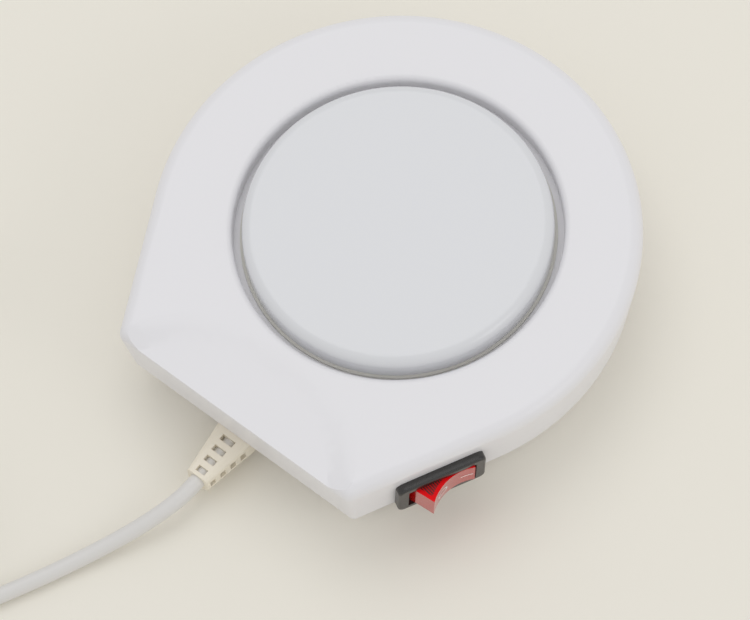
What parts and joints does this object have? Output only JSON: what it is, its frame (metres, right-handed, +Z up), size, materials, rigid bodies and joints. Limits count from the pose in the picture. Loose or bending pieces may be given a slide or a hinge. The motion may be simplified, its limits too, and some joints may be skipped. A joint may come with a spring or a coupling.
{
  "type": "mug warmer",
  "caption": "Low electric mug warmer with a D-shaped body, a raised round hot plate, a lighted rocker switch on the side, and a coiled mains cord with a two-pin plug.",
  "frame": {"origin": "centre of the body's footprint, on the table", "axes": "+Z up; the cord leaves at the front, towards -Y; the switch is on the straight side at +X"},
  "size_m": [0.1559, 0.2119, 0.0294],
  "materials": {
    "casing_white": "smooth moulded plastic, slightly satin",
    "foot_rubber": "matt rubber",
    "zinc_steel": "zinc plated",
    "label_paper": "printed silver film, blank",
    "plate_enamel": "smooth glossy enamel",
    "silicone_white": "matt silicone",
    "mica": "pressed mica sheet",
    "resistance_alloy": "flat ribbon",
    "fibre_pad": "pressed fibre",
    "aluminium_sheet": "mill finish",
    "fuse_case": "plated case",
    "black_nylon": "moulded nylon",
    "red_translucent": "translucent polished",
    "lamp_glass": "clear glass",
    "resistor_ceramic": "lacquered",
    "contact_brass": "stamped",
    "clear_sleeve": "clear vinyl",
    "relief_ivory": "flexible moulded",
    "cord_pvc": "extruded",
    "cap_nylon": "moulded nylon",
    "wire_brown": "insulated wire",
    "wire_blue": "insulated wire",
    "wire_white": "glass braid sleeve",
    "plug_pvc": "moulded",
    "plated_pins": "nickel plated",
    "tie_black": "nylon strap"
  },
  "bodies": {
    "body": {"top_shell": "casing_white", "base_tray": "casing_white", "rubber_feet": "foot_rubber", "case_screws": "zinc_steel", "rating_label": "label_paper", "hot_plate": "plate_enamel", "plate_gasket": "silicone_white", "upper_mica": "mica", "heater_ribbon": "resistance_alloy", "lower_mica": "mica", "insulation_pad": "fibre_pad", "clamp_plate": "zinc_steel", "stud_washers": "zinc_steel", "clamp_nut": "zinc_steel", "heat_shield": "aluminium_sheet", "shield_nut": "zinc_steel", "thermal_fuse": "fuse_case", "fuse_clip": "zinc_steel", "switch_housing": "black_nylon", "line_terminal": "contact_brass", "load_terminal": "contact_brass", "lamp_terminal": "contact_brass", "terminal_sleeves": "clear_sleeve", "strain_relief": "relief_ivory", "cord_inside": "cord_pvc", "cord_clamp": "relief_ivory", "clamp_screws": "zinc_steel", "crimp_caps": "cap_nylon", "live_wire": "wire_brown", "neutral_wire": "wire_blue", "lamp_wire": "wire_blue", "switched_wire": "wire_brown", "heater_return_lead": "wire_white", "heater_feed_lead": "wire_white", "fuse_feed_wire": "wire_white", "mains_lead": "cord_pvc", "cord_coil": "cord_pvc", "plug_body": "plug_pvc", "plug_pins": "plated_pins", "cord_tie": "tie_black"},
    "rocker": {"switch_rocker": "red_translucent", "neon_lamp": "lamp_glass", "lamp_resistor": "resistor_ceramic", "switch_plunger": "black_nylon", "switch_spring": "zinc_steel"},
    "contact_blade": {"contact_blade": "contact_brass"}
  },
  "joints": [
    {"name": "rocker_tilt", "type": "hinge", "parent": "body", "child": "rocker", "pos_m": [0.04008, -0.03497, 0.01425], "axis": [0.14, -0.0698, 0.9877], "range_deg": [-35, 0]},
    {"name": "blade_tilt", "type": "hinge", "parent": "body", "child": "contact_blade", "pos_m": [0.03332, -0.0316, 0.01545], "axis": [0.14, -0.0698, 0.9877], "range_deg": [0, 12]}
  ],
  "couplings": [
    {"joint": "blade_tilt", "follows": "rocker_tilt", "ratio": -0.34286}
  ]
}
